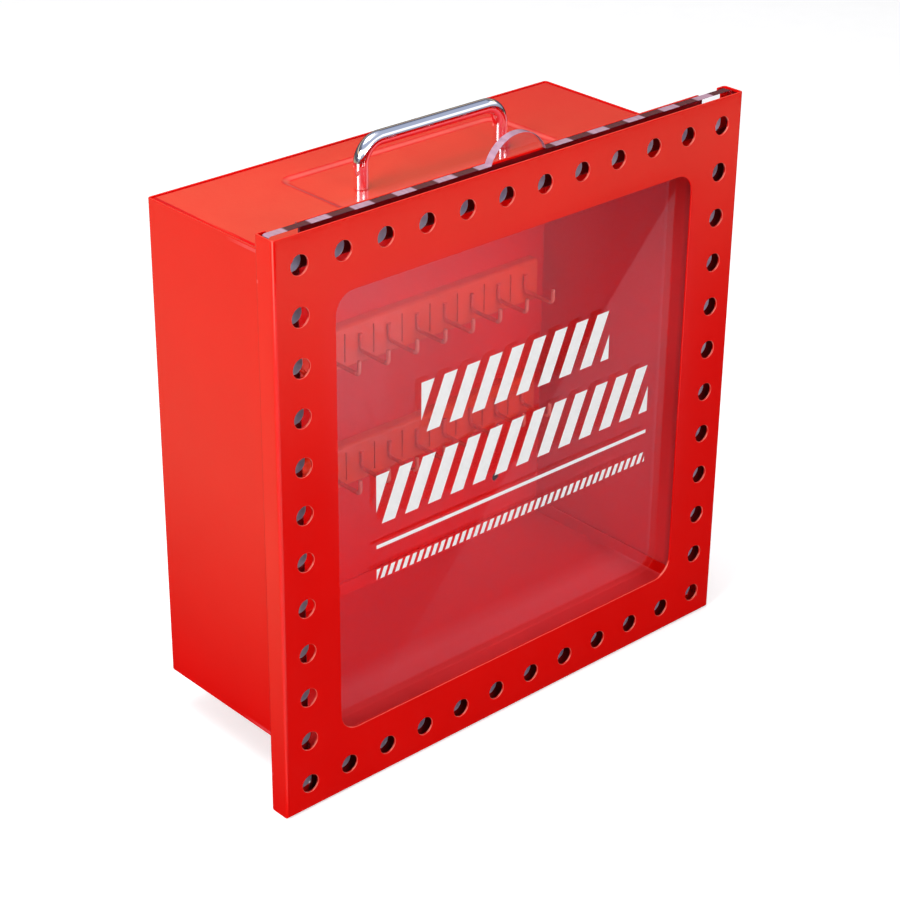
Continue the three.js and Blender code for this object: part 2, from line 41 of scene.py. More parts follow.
# Sizes, in millimetres
MM = 0.001
HAIRLINE = 0.1  # between faces that are welded or pressed together
SHEET = 1.5
BEND_RADIUS = 1.0  # inside radius of every bend
BEND_OUTSIDE = SHEET + BEND_RADIUS
CORNER_FIT = 0.393  # lets a square corner into a bend
EDGE_ROUND = 0.3  # broken edges of cut sheet

FRAME_HALF = 200.0
FRONT_Y = -160.0
FRAME_DEPTH = 17.0
LIP_WIDTH = 8.0
WINDOW_HALF = 154.0
WINDOW_RADIUS = 14.0

HOLE_RADIUS = 6.5
HOLE_EDGE = 19.5  # middle of a padlock hole to the edge of the frame
HOLES_PER_SIDE = 12
HOLE_PITCH = 2 * (FRAME_HALF - HOLE_EDGE) / (HOLES_PER_SIDE - 1)

BOX_HALF = 173.0
HEM = 12.0  # turned-in edges of the top and the bottom
WALL_HOLE_RADIUS = 3.5
WALL_HOLE_PLACE = 128.0  # from the middle of the back, both ways
FLANGE_EDGE = 3.0  # edge of a flange to the outside of the frame
FLANGE_END = FRAME_HALF - FLANGE_EDGE
FLANGE_BACK_Y = FRONT_Y + FRAME_DEPTH - SHEET - HAIRLINE
FLANGE_MIDDLE_Y = FLANGE_BACK_Y - SHEET / 2
FLANGE_FRONT_Y = FLANGE_BACK_Y - SHEET

PANEL_THICKNESS = 6.0
PANEL_RUNNING_GAP = 0.5  # to the flanges behind it
PANEL_BACK_Y = FLANGE_FRONT_Y - PANEL_RUNNING_GAP
PANEL_FRONT_Y = PANEL_BACK_Y - PANEL_THICKNESS
PANEL_HALF = 197.5
PANEL_BOTTOM = -198.2
PANEL_TOP = 200.0
PANEL_CORNER = 3.0
PANEL_EDGE_ROUND = 0.25
FLAT_NORMAL = 0.9  # part along Y of a normal from which a face counts as the sheet's own, not the hole's wall
TAB_HALF = 23.5
TAB_HEIGHT = 16.0

HANDLE_HALF = 60.0  # middle of the top to the middle of a leg
HANDLE_FOOT_Z = 171.6
HANDLE_TOP_Z = 201.6  # middle of the bar
HANDLE_BEND = 15.0
HANDLE_BORE_RADIUS = 2.6
HANDLE_BORE_DEPTH = 12.0
BAR_RADIUS = 5.0
BAR_DOME = 0.4  # height of the round at a leg's end
SEAT_Y = FLANGE_BACK_Y / 2
SEAT_HALF = (95.0, 44.0)
SEAT_CORNER = 10.0
SEAT_CORNER_LOSS = 0.6  # of the radius, for each millimetre that the ramp goes in
SEAT_RAMP = 6.0
SEAT_DEPTH = 1.5
SCREW_HOLE_RADIUS = 2.75
SCREW_HOLE_EDGE = 0.15

RAIL_TOPS = {"upper": 45.0, "lower": -46.0}
RAIL_HALF = 157.0
RAIL_HEIGHT = 32.0
RAIL_BACK_Y = -SHEET - HAIRLINE
RAIL_DEPTH = 9.0
RAIL_FRONT_Y = RAIL_BACK_Y - RAIL_DEPTH
SLIT_WIDTH = 1.0
SLIT_MARGIN = 5.0
HOOKS_PER_RAIL = 12
HOOK_PITCH = 26.0
HOOK_FIRST = -143.0
HOOK_STEM = 13.0
HOOK_REACH = 29.0
HOOK_TIP = 11.0
HOOK_DROP = 21.0
WIRE_RADIUS = 1.5
WIRE_BEND = 3.5
WIRE_STEM_DOME, WIRE_TIP_DOME = 0.3, 1.2

PRINT_THICKNESS = 0.05
PRINT_GAP = 0.02
PRINT_LEFT, PRINT_RIGHT = -117.5, 129.0
HEADING_LEFT, HEADING_RIGHT = -80.0, 88.0
HEADING_HEIGHTS = (35.5, 71.0)
SECOND_HEIGHTS = (-17.0, 18.5)
RULE_HEIGHTS = (-34.0, -31.4)
SMALL_HEIGHTS = (-56.5, -49.0)
LARGE_BARS = (11.0, 8.5, 15.0)  # width, gap and lean of the slanted bars
SMALL_BARS = (3.4, 2.8, 3.2)

OVERRUN = 2.0  # of a cutter past the faces that it goes through

# limits of angles, in degrees: edges that are rounded, and edges that stay sharp in the shading
BEVEL_ANGLE = 50
SHARP_ANGLE = 40
BAR_SHARP_ANGLE = 50
FLAT_ANGLE = math.radians(0.5)
SAME_POINT = 1e-6  # in metres

# counts of steps in a quarter or a whole of a round
BEND_STEPS = 7
HOLE_SIDES = 40
BORE_SIDES = 24
WINDOW_STEPS = 10
SEAT_STEPS = 6
RAMP_STEPS = 8
PANEL_CORNER_STEPS = 6
TAB_STEPS = 48
BAR_SIDES, HANDLE_BEND_STEPS = 48, 24
WIRE_SIDES, WIRE_BEND_STEPS = 20, 10
DOME_STEPS = 4


# Mesh building
def new_object(name, vertices, faces):
    """A mesh object from points in millimetres."""
    bm = bmesh.new()
    points = [bm.verts.new(Vector(v) * MM) for v in vertices]
    for face in faces:
        bm.faces.new([points[i] for i in face])
    bmesh.ops.recalc_face_normals(bm, faces=bm.faces)
    mesh = bpy.data.meshes.new(name)
    bm.to_mesh(mesh)
    bm.free()
    made = bpy.data.objects.new(name, mesh)
    scene.collection.objects.link(made)
    return made


def skins(name, stacks):
    """One object of closed skins, each through a stack of rings of equal length."""
    vertices, faces = [], []
    for rings in stacks:
        base, count = len(vertices), len(rings[0])
        vertices += [v for ring in rings for v in ring]
        for low in range(base, base + (len(rings) - 1) * count, count):
            for i in range(count):
                j = (i + 1) % count
                faces.append((low + i, low + j, low + count + j, low + count + i))
        faces.append(tuple(base + i for i in range(count)))
        faces.append(tuple(base + (len(rings) - 1) * count + i for i in range(count)))
    return new_object(name, vertices, faces)


def placed(axis, a, b, along):
    """A point from its two outline coordinates and its place along the axis."""
    return {"x": (along, a, b), "y": (a, along, b), "z": (a, b, along)}[axis]


def prism(name, axis, outline, low, high):
    return skins(name, [[[placed(axis, a, b, at) for a, b in outline] for at in (low, high)]])


def block(name, low, high):
    outline = [(low[0], low[1]), (high[0], low[1]), (high[0], high[1]), (low[0], high[1])]
    return prism(name, "z", outline, low[2], high[2])


def apply_modifiers(obj):
    graph = bpy.context.evaluated_depsgraph_get()
    mesh = bpy.data.meshes.new_from_object(obj.evaluated_get(graph))
    obj.modifiers.clear()
    obj.data = mesh


def combine(base, tool, operation):
    modifier = base.modifiers.new("combine", "BOOLEAN")
    modifier.object = tool
    modifier.operation = operation
    modifier.solver = "MANIFOLD"
    apply_modifiers(base)
    bpy.data.objects.remove(tool)


def add(base, tool):
    combine(base, tool, "UNION")


def cut(base, tool):
    combine(base, tool, "DIFFERENCE")


def merge_flat(obj):
    """Joins the coplanar triangles that a cut leaves."""
    bm = bmesh.new()
    bm.from_mesh(obj.data)
    bmesh.ops.remove_doubles(bm, verts=bm.verts, dist=SAME_POINT)
    bmesh.ops.dissolve_limit(
        bm, angle_limit=FLAT_ANGLE, verts=bm.verts, edges=bm.edges, use_dissolve_boundaries=False
    )
    bm.to_mesh(obj.data)
    bm.free()


def round_edges(obj, width=EDGE_ROUND):
    modifier = obj.modifiers.new("edges", "BEVEL")
    modifier.width = width * MM
    modifier.segments = 2
    modifier.limit_method = "ANGLE"
    modifier.angle_limit = math.radians(BEVEL_ANGLE)
    modifier.use_clamp_overlap = True
    apply_modifiers(obj)


def smooth(obj, angle=SHARP_ANGLE):
    obj.data.polygons.foreach_set("use_smooth", [True] * len(obj.data.polygons))
    obj.data.set_sharp_from_angle(angle=math.radians(angle))
    modifier = obj.modifiers.new("normals", "WEIGHTED_NORMAL")
    modifier.keep_sharp = True
    modifier.weight = 100  # large faces set the normals, so that they stay flat up to their rounded edges
    apply_modifiers(obj)


def finish_piece(obj, surface, body, slot, *nodes):
    obj.data.materials.clear()
    obj.data.materials.append(surface)
    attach(obj, body)
    if nodes:
        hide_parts(*nodes)


# Outlines
def arc(x, y, radius, start, end, steps):
    angles = [start + (end - start) * i / steps for i in range(steps + 1)]
    return [(x + radius * math.cos(angle), y + radius * math.sin(angle)) for angle in angles]


def circle(x, y, radius, sides):
    return arc(x, y, radius, 0, 2 * math.pi * (sides - 1) / sides, sides - 1)


def rounded_rectangle(half_x, half_y, radius, steps, middle=(0.0, 0.0)):
    points = []
    for number, (sx, sy) in enumerate(((-1, -1), (1, -1), (1, 1), (-1, 1))):
        start = math.pi + number * math.pi / 2
        x, y = middle[0] + sx * (half_x - radius), middle[1] + sy * (half_y - radius)
        points += arc(x, y, radius, start, start + math.pi / 2, steps)
    return points


def bent_strip(line):
    """Outline of sheet whose middle follows a line of straight runs, round at each bend."""
    half = SHEET / 2
    left, right = [], []
    line = [Vector(p) for p in line]

    def place(middle, outward, inner, outer):
        left.append(tuple(middle + outward * inner))
        right.append(tuple(middle + outward * outer))

    for i, here in enumerate(line):
        before = line[i - 1] if i else None
        after = line[i + 1] if i + 1 < len(line) else None
        if before is None or after is None:
            along = (here - before) if before is not None else (after - here)
            place(here, Vector((-along.y, along.x)).normalized(), half, -half)
            continue
        arriving, leaving = (here - before).normalized(), (after - here).normalized()
        angle = math.acos(arriving.dot(leaving))
        side = math.copysign(1, arriving.x * leaving.y - arriving.y * leaving.x)
        radius = BEND_RADIUS + half
        start = here - arriving * radius * math.tan(angle / 2)
        toward = Vector((-arriving.y, arriving.x)) * side
        centre = start + toward * radius
        for step in range(BEND_STEPS + 1):
            outward = -toward.copy()
            outward.rotate(Matrix.Rotation(side * angle * step / BEND_STEPS, 2))
            place(centre, outward, radius - side * half, radius + side * half)
    return left + right[::-1]


def tray(name, outline, half_width, length, origin, lengthwise, depthwise):
    """An outline swept round three sides of a rectangle with mitred corners, open at the fourth."""
    stations = [
        lambda inward: (-half_width + inward, length),
        lambda inward: (-half_width + inward, inward),
        lambda inward: (half_width - inward, inward),
        lambda inward: (half_width - inward, length),
    ]
    rings = []
    for station in stations:
        ring = []
        for inward, depth in outline:
            side, along = station(inward)
            ring.append(
                Vector(origin) + Vector((side, 0, 0)) + Vector(lengthwise) * along + Vector(depthwise) * depth
            )
        rings.append(ring)
    return skins(name, [rings])


def rolled_cutters(name, shapes, axis, low, high, edge=EDGE_ROUND):
    """Cutters in one object that widen in a small round at both faces of a sheet. A shape gives its outline
    for the extra width there."""
    angles = (0.0, math.pi / 6, math.pi / 3, math.pi / 2)
    rounding = [(edge * (1 - math.cos(angle)), edge * (1 - math.sin(angle))) for angle in angles]
    stops = [(low - OVERRUN, edge)]
    stops += [(low + depth, extra) for depth, extra in rounding]
    stops += [(high - depth, extra) for depth, extra in reversed(rounding)]
    stops.append((high + OVERRUN, edge))
    return skins(name, [
        [[placed(axis, a, b, at) for a, b in shape(extra)] for at, extra in stops] for shape in shapes
    ])


def round_hole(x, y, radius):
    return lambda extra: circle(x, y, radius + extra, HOLE_SIDES)


def window_shape(extra):
    return rounded_rectangle(WINDOW_HALF + extra, WINDOW_HALF + extra, WINDOW_RADIUS + extra, WINDOW_STEPS)


def padlock_places():
    reach = FRAME_HALF - HOLE_EDGE
    places = []
    for i in range(HOLES_PER_SIDE - 1):
        turn = 2 * i / (HOLES_PER_SIDE - 1) - 1
        places += [
            (reach * turn, reach),
            (reach, -reach * turn),
            (-reach * turn, -reach),
            (-reach, reach * turn),
        ]
    return places


def cut_padlock_holes(obj, low, high, keep=lambda x, z: True):
    shapes = [round_hole(x, z, HOLE_RADIUS) for x, z in padlock_places() if keep(x, z)]
    cut(obj, rolled_cutters("padlock_holes", shapes, "y", low, high))


# Node graphs
NOISE_LOW, NOISE_HIGH = 0.3, 0.7  # between these lies most of what a noise gives
WHITE = (1, 1, 1)


class Graph:
    """Short calls for the nodes of a material or of the world. A value is a number, a vector, a colour of
    three values or another node's output."""

    def __init__(self, tree):
        self.nodes, self.links = tree.nodes, tree.links

    def feed(self, socket, value):
        if isinstance(value, bpy.types.NodeSocket):
            self.links.new(value, socket)
        else:
            socket.default_value = (*value, 1) if socket.type == "RGBA" else value

    def node(self, kind, inputs, output, **settings):
        made = self.nodes.new(kind)
        for key, value in settings.items():
            setattr(made, key, value)
        for key, value in inputs.items():
            self.feed(made.inputs[key], value)
        return made.outputs[output]

    def math(self, operation, first, second=0.0):
        return self.node("ShaderNodeMath", {0: first, 1: second}, "Value", operation=operation)

    def above(self, value, limit):
        return self.math("GREATER_THAN", value, limit)

    def below(self, value, limit):
        return self.math("LESS_THAN", value, limit)

    def size(self, value):
        return self.math("ABSOLUTE", value)

    def product(self, *values):
        result = values[0]
        for value in values[1:]:
            result = self.math("MULTIPLY", result, value)
        return result

    def spread(self, value, low, high, start=NOISE_LOW, end=NOISE_HIGH):
        """`low` at the start of the value's range and `high` at its end, clamped outside."""
        inputs = {"Value": value, "From Min": start, "From Max": end, "To Min": low, "To Max": high}
        return self.node("ShaderNodeMapRange", inputs, "Result")

    def rise(self, value, start, end):
        return self.spread(value, 0.0, 1.0, start, end)

    def fall(self, value, start, end):
        return self.spread(value, 1.0, 0.0, start, end)

    def mix(self, share, first, second):
        return self.node(
            "ShaderNodeMix", {"Factor": share, "A": first, "B": second}, "Result", data_type="RGBA"
        )

    def blend(self, share, first, second):
        """Mix of two shaders."""
        return self.node("ShaderNodeMixShader", {0: share, 1: first, 2: second}, "Shader")

    def coordinates(self, space="Object"):
        return self.nodes.new("ShaderNodeTexCoord").outputs[space]

    def split(self, vector):
        made = self.nodes.new("ShaderNodeSeparateXYZ")
        self.links.new(vector, made.inputs["Vector"])
        return tuple(made.outputs)

    def place(self):
        return self.split(self.coordinates())

    def noise(self, scale, detail=3.0, roughness=0.55, stretch=None):
        where = self.coordinates()
        if stretch:
            where = self.node("ShaderNodeMapping", {"Vector": where, "Scale": stretch}, "Vector")
        inputs = {"Vector": where, "Scale": scale, "Detail": detail, "Roughness": roughness}
        return self.node("ShaderNodeTexNoise", inputs, "Fac")

    def bump(self, height, strength, distance):
        inputs = {"Height": height, "Strength": strength, "Distance": distance}
        return self.node("ShaderNodeBump", inputs, "Normal")

    def path(self):
        return self.nodes.new("ShaderNodeLightPath").outputs

    def mirrored(self, path):
        """1 where a ray has been mirrored on its way."""
        return self.above(path["Glossy Depth"], 0.5)

    def seen_through_panel(self, path):
        """1 where a ray has gone straight through the clear panel, with nothing mirrored or scattered."""
        return self.product(
            path["Is Transmission Ray"],
            self.below(path["Glossy Depth"], 0.5),
            self.below(path["Diffuse Depth"], 0.5),
        )


def material(name):
    made = bpy.data.materials.new(name)
    made.use_nodes = True
    graph = Graph(made.node_tree)
    shader = graph.nodes["Principled BSDF"]

    def give(**inputs):
        """Feeds the shader's inputs, with _ for a space in the name."""
        for key, value in inputs.items():
            graph.feed(shader.inputs[key.replace("_", " ")], value)

    return made, graph, shader, give


# Red powder coat
RED_DARK, RED_LIGHT = (0.77, 0.0016, 0.0008), (0.83, 0.0022, 0.0011)
RAIL_DARK, RAIL_LIGHT = (0.88, 0.040, 0.012), (0.93, 0.052, 0.016)
HOOK_DARK, HOOK_LIGHT = (0.82, 0.040, 0.020), (0.90, 0.052, 0.026)
CHANNEL_PAINTED_SHADE = (0.17, 0.004, 0.006)  # painted shade inside the frame's channel
PAINTED_HIGHLIGHT = (0.90, 0.17, 0.13)  # painted highlight over edges: rims, bends, the seat's ramp and the hook tips
RAMP_HIGHLIGHT = 0.75  # how much of that the seat's ramp shows
COAT_CHANGE = (9.0, 2.0)  # noise of the colour: scale and detail, as for every noise here
COAT_WEAR = (60.0, 4.0)  # and of the gloss
COAT_PEEL = (420.0, 2.0, 0.4)  # orange peel; the third value of a noise is its roughness
PEEL_STRENGTH, PEEL_DEPTH = 0.10, 0.0004
GLOSS_DOWN, GLOSS_UP = 0.03, 0.04  # of the roughness either way
LACQUER_ROUGHNESS = 0.06
SPECULAR_LEVEL, SPECULAR_TINT = 0.15, (1.0, 0.85, 0.65)
CHANNEL_SHADE_COVER = (0.85, 1.0)  # how much of the painted channel shade shows, following the drift in colour

# squareness is the part of a normal along its main axis: an edge is palest at the first value and below
RIM_SQUARENESS = (0.88, 0.98)
BEND_SQUARENESS = (0.74, 0.86)
RAMP_SQUARENESS = (0.93, 0.995)
BEND_HIGHLIGHT_HEIGHTS = (0.120, 0.210)  # in metres: the painted highlight on the frame's bends grows towards their upper ends
MASK_MARGIN = 1.0  # round a feature, in millimetres as the next three
WINDOW_MARGIN = 2.0
CHANNEL_MARGIN = 0.05
CHANNEL_SIDE_MARGIN = 0.5
UPWARD = 0.2  # least upward part of a normal that counts as facing up

# the insides of the walls close behind the window: a painted reflection veil, then painted shade towards the
# front; the axis that the walls face, the places in metres between which each falls off, and its colour
WALL_PAINTED_VEIL, WALL_SHADE = (0.84, 0.055, 0.062), (0.36, 0.045, 0.055)
WINDOW_PAINTED_VEIL_AND_SHADE = (
    ("Z", -0.100, -0.080, WALL_PAINTED_VEIL),
    ("X", -0.1215, -0.1175, WALL_PAINTED_VEIL),
    ("X", -0.142, -0.135, WALL_SHADE),
)


def main_part(graph, vector):
    """The larger of a vector's parts sideways and up or down, without their signs."""
    x, _, z = vector
    return graph.math("MAXIMUM", graph.size(x), graph.size(z))


def painted_edge_highlights(graph):
    """1 where a highlight is painted: rims and outer bends of the frame's face, and the seat ramp."""
    x, y, z = graph.place()
    normal = graph.split(graph.coordinates("Normal"))
    squareness = graph.math("MAXIMUM", graph.size(normal[1]), main_part(graph, normal))
    reach = main_part(graph, (x, y, z))

    outside = graph.above(reach, (FRAME_HALF - BEND_OUTSIDE - MASK_MARGIN) * MM)
    beyond_window = graph.above(reach, (WINDOW_HALF + WINDOW_MARGIN) * MM)
    lit_rim = graph.math("MAXIMUM", beyond_window, graph.above(normal[2], UPWARD))
    rim = graph.product(
        graph.fall(squareness, *RIM_SQUARENESS), lit_rim, graph.math("SUBTRACT", 1.0, outside)
    )
    bend = graph.product(graph.fall(squareness, *BEND_SQUARENESS), outside, graph.rise(z, *BEND_HIGHLIGHT_HEIGHTS))
    on_face = graph.below(y, (FRONT_Y + BEND_OUTSIDE) * MM)

    on_seat = graph.product(
        graph.below(graph.size(x), (SEAT_HALF[0] + MASK_MARGIN) * MM),
        graph.below(graph.size(graph.math("SUBTRACT", y, SEAT_Y * MM)), (SEAT_HALF[1] + MASK_MARGIN) * MM),
        graph.above(z, (BOX_HALF - SHEET) * MM),
    )
    ramp = graph.spread(squareness, RAMP_HIGHLIGHT, 0.0, *RAMP_SQUARENESS)
    return graph.math(
        "ADD", graph.product(graph.math("ADD", rim, bend), on_face), graph.product(ramp, on_seat)
    )


def painted_tip_highlights(graph):
    """1 on the upright tips of the hooks, where a highlight is painted."""
    tip = RAIL_FRONT_Y - HOOK_REACH
    return graph.fall(graph.place()[1], tip * MM, (tip + 2 * MASK_MARGIN) * MM)


def in_channel(graph):
    """1 on the faces inside the frame's channel, where shade is painted."""
    x, y, z = graph.place()
    reach = main_part(graph, (x, y, z))
    before_panel = graph.below(y, PANEL_FRONT_Y * MM)
    beside_box = graph.above(reach, (BOX_HALF - SHEET - CHANNEL_SIDE_MARGIN) * MM)
    return graph.product(
        graph.above(y, (FRONT_Y + SHEET - CHANNEL_MARGIN) * MM),
        graph.below(y, (FLANGE_BACK_Y - CHANNEL_MARGIN) * MM),
        graph.below(reach, (FRAME_HALF - SHEET + CHANNEL_MARGIN) * MM),
        graph.math("MAXIMUM", before_panel, beside_box),
    )


def beside_window(graph, axis, start, end):
    """1 on the inside of the walls next to the window, falling off towards the back, where a painted
    reflection veil and painted shade go: the side walls for the axis X, top and bottom for Z."""
    x, y, z = graph.place()
    outward = graph.size({"X": x, "Z": z}[axis])
    return graph.product(
        graph.below(outward, (BOX_HALF - SHEET / 2) * MM),
        graph.above(outward, (BOX_HALF - 2 * SHEET) * MM),
        graph.above(y, FLANGE_FRONT_Y * MM),
        graph.fall(y, start, end),
    )


def powder_coat(name, dark, light, roughness, coat=0.5, pale=None, channel=False):
    """Gloss powder coat: orange peel and a faint drift in colour and gloss. A painted highlight goes where
    `pale` says; with `channel`, painted shade goes inside the frame's channel, and a painted reflection veil
    and painted shade on the walls beside the window."""
    made, graph, shader, give = material(name)
    drift = graph.rise(graph.noise(*COAT_CHANGE), NOISE_LOW, NOISE_HIGH)
    color = graph.mix(drift, dark, light)
    if pale:
        # painted highlight where `pale` says
        color = graph.mix(pale(graph), color, PAINTED_HIGHLIGHT)
    if channel:
        # painted reflection veil and painted shade on the walls beside the window
        for axis, start, end, shade in WINDOW_PAINTED_VEIL_AND_SHADE:
            color = graph.mix(beside_window(graph, axis, start, end), color, shade)
        # painted shade inside the frame's channel
        channel_shade_share = graph.product(in_channel(graph), graph.spread(drift, *CHANNEL_SHADE_COVER, 0.0, 1.0))
        color = graph.mix(channel_shade_share, color, CHANNEL_PAINTED_SHADE)
    normal = graph.bump(graph.noise(*COAT_PEEL), PEEL_STRENGTH, PEEL_DEPTH)
    give(
        Base_Color=color,
        Roughness=graph.spread(graph.noise(*COAT_WEAR), roughness - GLOSS_DOWN, roughness + GLOSS_UP),
        Normal=normal,
        Coat_Normal=normal,
        Coat_Weight=coat,
        Coat_Roughness=LACQUER_ROUGHNESS,
        Specular_IOR_Level=SPECULAR_LEVEL,
        Specular_Tint=SPECULAR_TINT,
    )
    return made


# Metal, acrylic and ink
CHROME_DARK, CHROME_LIGHT = (0.80, 0.82, 0.87), (0.88, 0.89, 0.93)
ZINC_DARK, ZINC_LIGHT = (0.55, 0.56, 0.55), (0.70, 0.70, 0.67)
METAL_DETAIL, METAL_BUMP_DEPTH = 3.0, 0.0002
METAL_WEAR_FINER, METAL_WEAR_DETAIL = 2.3, 4.0  # finer than the drift in colour
METAL_BUMP_FINER = 4

CLEAR_DARK, CLEAR_LIGHT = (0.965, 0.955, 0.99), (0.985, 0.98, 1.0)
DRILLED_DARK, DRILLED_LIGHT = (0.46, 0.43, 0.66), (0.88, 0.84, 1.0)
ACRYLIC_IOR, ACRYLIC_SPECULAR = 1.49, 0.4
ACRYLIC_SHADOW = (0.985, 0.98, 0.985)  # what the lamps lose in the sheet
ACRYLIC_HAZE = (14.0, 3.0)
ACRYLIC_SMUDGES = (35.0, 5.0)
DRILL_MARKS, DRILL_DEPTH = (300.0, 3.0, 0.6, (1.0, 6.0, 1.0)), 0.0006  # drawn out along the fourth value

SAW_MARKS = (300.0, 3.0, 0.6, (1.0, 0.2, 1.0))
# painted shade over each hole and painted light between the holes, each a pair of tones that the saw marks
# mix
SAWN_PAINTED_SHADE = (0.065, 0.006, 0.018), (0.115, 0.018, 0.036)
SAWN_PAINTED_LIGHT = (0.38, 0.22, 0.31), (0.55, 0.34, 0.45)
SAWN_ROUGHNESS, SAWN_SPECULAR = (0.14, 0.24), 0.15
EDGE_SHIFT = 0.2  # of the holes' pitch: how far to the right of the holes the painted dark blocks stand, as the sheet shows its holes when seen from above
DARK_BLOCK = (0.21, 0.25)  # half of the painted dark block over a hole, in pitches, with its soft end
TAB_MARGIN = 0.1

INK_SPECKS = (220.0, 4.0)
INK_DARK, INK_LIGHT, INK_ROUGHNESS = (0.92, 0.91, 0.91), (0.98, 0.97, 0.97), 0.5


def metal(name, dark, light, roughness, scale, bumps=0.0):
    """Plated metal. The scale is that of the drift in its colour."""
    made, graph, shader, give = material(name)
    drift = graph.rise(graph.noise(scale, METAL_DETAIL), NOISE_LOW, NOISE_HIGH)
    wear = graph.noise(scale * METAL_WEAR_FINER, METAL_WEAR_DETAIL)
    give(Metallic=1.0, Base_Color=graph.mix(drift, dark, light), Roughness=graph.spread(wear, *roughness))
    if bumps:
        give(Normal=graph.bump(graph.noise(scale * METAL_BUMP_FINER, METAL_DETAIL), bumps, METAL_BUMP_DEPTH))
    return made


def clear_sheet(name, dark, light, roughness, clearness=1.0, marks=0.0):
    """Clear acrylic that lets the lamps through to what is behind it, with tool marks where it is drilled."""
    made, graph, shader, give = material(name)
    haze = graph.rise(graph.noise(*ACRYLIC_HAZE), NOISE_LOW, NOISE_HIGH)
    give(
        Base_Color=graph.mix(haze, dark, light),
        Roughness=graph.spread(graph.noise(*ACRYLIC_SMUDGES), *roughness),
        Transmission_Weight=clearness,
        IOR=ACRYLIC_IOR,
        Specular_IOR_Level=ACRYLIC_SPECULAR,
    )
    if marks:
        give(Normal=graph.bump(graph.noise(*DRILL_MARKS), marks, DRILL_DEPTH))
    passing = graph.node("ShaderNodeBsdfTransparent", {"Color": ACRYLIC_SHADOW}, "BSDF")
    surface = graph.blend(graph.path()["Is Shadow Ray"], shader.outputs["BSDF"], passing)
    graph.links.new(surface, graph.nodes["Material Output"].inputs["Surface"])
    return made


def sawn_edge(name):
    """The sheet's top edge, with saw marks and the painted look of its inside: painted shade over each hole
    and painted light between the holes.
    """
    made, graph, shader, give = material(name)
    x, y, z = graph.place()
    pitches = graph.math("ADD", graph.math("DIVIDE", x, HOLE_PITCH * MM), HOLES_PER_SIDE + 0.5 - EDGE_SHIFT)
    off_hole = graph.size(graph.math("SUBTRACT", graph.math("FRACT", pitches), 0.5))
    on_tab = graph.above(z, (PANEL_TOP + TAB_MARGIN) * MM)
    pale = graph.math("MAXIMUM", graph.fall(off_hole, *DARK_BLOCK), on_tab)
    marks = graph.rise(graph.noise(*SAW_MARKS), NOISE_LOW, NOISE_HIGH)
    give(
        Base_Color=graph.mix(pale, graph.mix(marks, *SAWN_PAINTED_SHADE), graph.mix(marks, *SAWN_PAINTED_LIGHT)),
        Roughness=graph.spread(marks, *SAWN_ROUGHNESS, 0.0, 1.0),
        Specular_IOR_Level=SAWN_SPECULAR,
    )
    return made


def print_ink(name):
    made, graph, shader, give = material(name)
    density = graph.rise(graph.noise(*INK_SPECKS), NOISE_LOW, NOISE_HIGH)
    give(Base_Color=graph.mix(density, INK_DARK, INK_LIGHT), Roughness=INK_ROUGHNESS)
    return made


red = powder_coat("red_powder_coat", RED_DARK, RED_LIGHT, roughness=0.20, pale=painted_edge_highlights, channel=True)
rail_red = powder_coat("rail_powder_coat", RAIL_DARK, RAIL_LIGHT, roughness=0.18, coat=1.0)
hook_red = powder_coat("hook_powder_coat", HOOK_DARK, HOOK_LIGHT, roughness=0.18, coat=1.0, pale=painted_tip_highlights)
chrome = metal("bright_chrome", CHROME_DARK, CHROME_LIGHT, roughness=(0.03, 0.08), scale=40.0)
zinc = metal("bright_zinc", ZINC_DARK, ZINC_LIGHT, roughness=(0.30, 0.42), scale=300.0, bumps=0.15)
acrylic = clear_sheet("clear_acrylic", CLEAR_DARK, CLEAR_LIGHT, roughness=(0.0, 0.004))
drilled = clear_sheet(
    "drilled_acrylic", DRILLED_DARK, DRILLED_LIGHT, roughness=(0.30, 0.42), clearness=0.55, marks=0.9
)
sawn = sawn_edge("sawn_acrylic")
ink = print_ink("white_ink")


# Sheet metal
def build_front_frame():
    edge = bent_strip([
        (2 * BEND_OUTSIDE, SHEET / 2),
        (SHEET / 2, SHEET / 2),
        (SHEET / 2, FRAME_DEPTH - SHEET / 2),
        (LIP_WIDTH, FRAME_DEPTH - SHEET / 2),
    ])
    shell = tray(
        "front_frame_steel", edge, FRAME_HALF, 2 * FRAME_HALF, (0, FRONT_Y, -FRAME_HALF), (0, 0, 1), (0, 1, 0)
    )
    inner = FRAME_HALF - BEND_OUTSIDE
    add(shell, block("face", (-inner, FRONT_Y, -inner), (inner, FRONT_Y + SHEET, FRAME_HALF)))
    merge_flat(shell)
    round_edges(shell)
    cut(shell, rolled_cutters("window", [window_shape], "y", FRONT_Y, FRONT_Y + SHEET))
    cut_padlock_holes(shell, FRONT_Y, FRONT_Y + SHEET)
    smooth(shell)
    finish_piece(shell, red, "cabinet", "red_paint", "front_frame")


